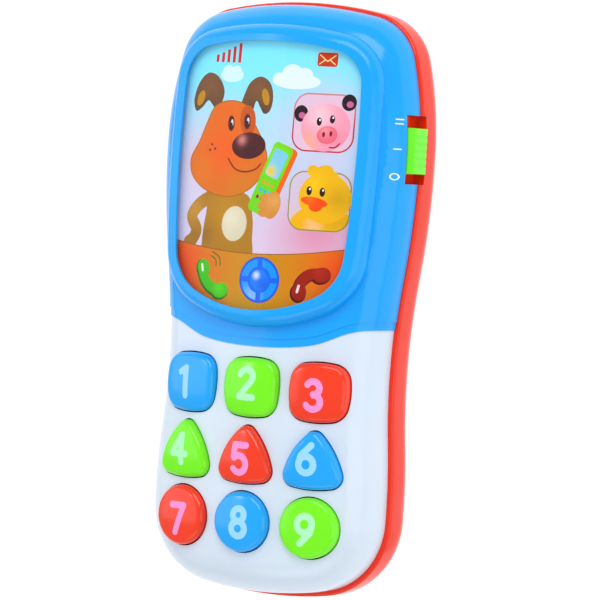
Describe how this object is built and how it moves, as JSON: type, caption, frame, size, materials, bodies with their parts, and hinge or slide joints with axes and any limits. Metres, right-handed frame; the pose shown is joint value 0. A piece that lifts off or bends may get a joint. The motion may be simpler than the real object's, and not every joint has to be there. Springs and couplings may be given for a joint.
{
  "type": "toy cell phone",
  "caption": "Toddler's toy cell phone: waisted casing, picture window with raised ridge, domed number keys, side slide switch and battery door.",
  "frame": {"origin": "centre of the casing's footprint, on the surface its back rests on", "axes": "+Z out of the face with the keys, +Y along the length towards the window end, +X towards the side with the slide switch"},
  "size_m": [0.082, 0.1674, 0.034],
  "materials": {
    "blue_casing": "glossy moulded ABS, sky blue",
    "white_casing": "glossy moulded ABS, cool white",
    "orange_casing": "glossy moulded ABS, orange red",
    "clear_window": "clear moulded acrylic",
    "printed_card": "printed card behind the window",
    "blue_key": "glossy moulded ABS, sky blue",
    "green_key": "glossy moulded ABS, lime green",
    "red_key": "glossy moulded ABS, orange red",
    "green_knob": "glossy moulded ABS, lime green",
    "white_tray": "translucent white moulded plastic",
    "silicone": "translucent grey silicone rubber",
    "circuit_board": "green solder mask on fibre laminate",
    "chip_epoxy": "black epoxy and small parts",
    "lamp_lens": "tinted clear lamp lens",
    "steel_screw": "zinc plated steel",
    "cell_jacket": "printed steel cell jacket",
    "spring_leaf": "nickel plated spring steel",
    "speaker_steel": "plated steel speaker basket",
    "speaker_paper": "pressed black paper cone",
    "magnet_ferrite": "ground ferrite",
    "switch_can": "tin plated steel",
    "black_nylon": "moulded black nylon",
    "wire_jacket": "soft vinyl wire jacket"
  },
  "bodies": {
    "casing": {"front_bezel": "blue_casing", "keypad_cover": "white_casing", "rear_cover": "orange_casing", "screen_window": "clear_window", "picture_card": "printed_card", "light_box": "white_tray", "keypad_membrane": "silicone", "keypad_board": "circuit_board", "board_components": "chip_epoxy", "board_screws": "steel_screw", "light_board": "circuit_board", "light_board_screws": "steel_screw", "led_lamps": "lamp_lens", "case_screws": "steel_screw", "battery_1": "cell_jacket", "battery_2": "cell_jacket", "battery_terminals": "spring_leaf", "battery_bridge": "spring_leaf", "speaker_frame": "speaker_steel", "speaker_cone": "speaker_paper", "speaker_magnet": "magnet_ferrite", "mode_switch_body": "switch_can", "mode_switch_board": "circuit_board", "link_wires": "wire_jacket", "speaker_wires": "wire_jacket", "switch_wires": "wire_jacket"},
    "key_1": {"key_1": "blue_key"},
    "key_2": {"key_2": "green_key"},
    "key_3": {"key_3": "red_key"},
    "key_4": {"key_4": "green_key"},
    "key_5": {"key_5": "red_key"},
    "key_6": {"key_6": "blue_key"},
    "key_7": {"key_7": "red_key"},
    "key_8": {"key_8": "blue_key"},
    "key_9": {"key_9": "green_key"},
    "mode_switch": {"mode_switch_knob": "green_knob", "mode_switch_slider": "black_nylon"},
    "battery_door": {"battery_door": "orange_casing"},
    "battery_door_screw": {"battery_door_screw": "steel_screw"}
  },
  "joints": [
    {"name": "key_1_press", "type": "slide", "parent": "casing", "child": "key_1", "axis": [0, 0, -1], "range_m": [0, 0.0015], "stiffness_N_per_m": 500, "springref_m": -0.0008, "deforming": ["keypad_membrane"]},
    {"name": "key_2_press", "type": "slide", "parent": "casing", "child": "key_2", "axis": [0, 0, -1], "range_m": [0, 0.0015], "stiffness_N_per_m": 500, "springref_m": -0.0008, "deforming": ["keypad_membrane"]},
    {"name": "key_3_press", "type": "slide", "parent": "casing", "child": "key_3", "axis": [0, 0, -1], "range_m": [0, 0.0015], "stiffness_N_per_m": 500, "springref_m": -0.0008, "deforming": ["keypad_membrane"]},
    {"name": "key_4_press", "type": "slide", "parent": "casing", "child": "key_4", "axis": [0, 0, -1], "range_m": [0, 0.0015], "stiffness_N_per_m": 500, "springref_m": -0.0008, "deforming": ["keypad_membrane"]},
    {"name": "key_5_press", "type": "slide", "parent": "casing", "child": "key_5", "axis": [0, 0, -1], "range_m": [0, 0.0015], "stiffness_N_per_m": 500, "springref_m": -0.0008, "deforming": ["keypad_membrane"]},
    {"name": "key_6_press", "type": "slide", "parent": "casing", "child": "key_6", "axis": [0, 0, -1], "range_m": [0, 0.0015], "stiffness_N_per_m": 500, "springref_m": -0.0008, "deforming": ["keypad_membrane"]},
    {"name": "key_7_press", "type": "slide", "parent": "casing", "child": "key_7", "axis": [0, 0, -1], "range_m": [0, 0.0015], "stiffness_N_per_m": 500, "springref_m": -0.0008, "deforming": ["keypad_membrane"]},
    {"name": "key_8_press", "type": "slide", "parent": "casing", "child": "key_8", "axis": [0, 0, -1], "range_m": [0, 0.0015], "stiffness_N_per_m": 500, "springref_m": -0.0008, "deforming": ["keypad_membrane"]},
    {"name": "key_9_press", "type": "slide", "parent": "casing", "child": "key_9", "axis": [0, 0, -1], "range_m": [0, 0.0015], "stiffness_N_per_m": 500, "springref_m": -0.0008, "deforming": ["keypad_membrane"]},
    {"name": "mode_switch_slide", "type": "slide", "parent": "casing", "child": "mode_switch", "axis": [0, 1, 0], "range_m": [-0.0027, 0.0033]},
    {"name": "battery_door_swing", "type": "hinge", "parent": "casing", "child": "battery_door", "pos_m": [0, -0.01185, 0.0003], "axis": [1, 0, 0], "range_deg": [0, 60]},
    {"name": "battery_door_screw_turn", "type": "hinge", "parent": "battery_door", "child": "battery_door_screw", "pos_m": [0, -0.06925, 0], "axis": [0, 0, 1], "continuous": true}
  ]
}
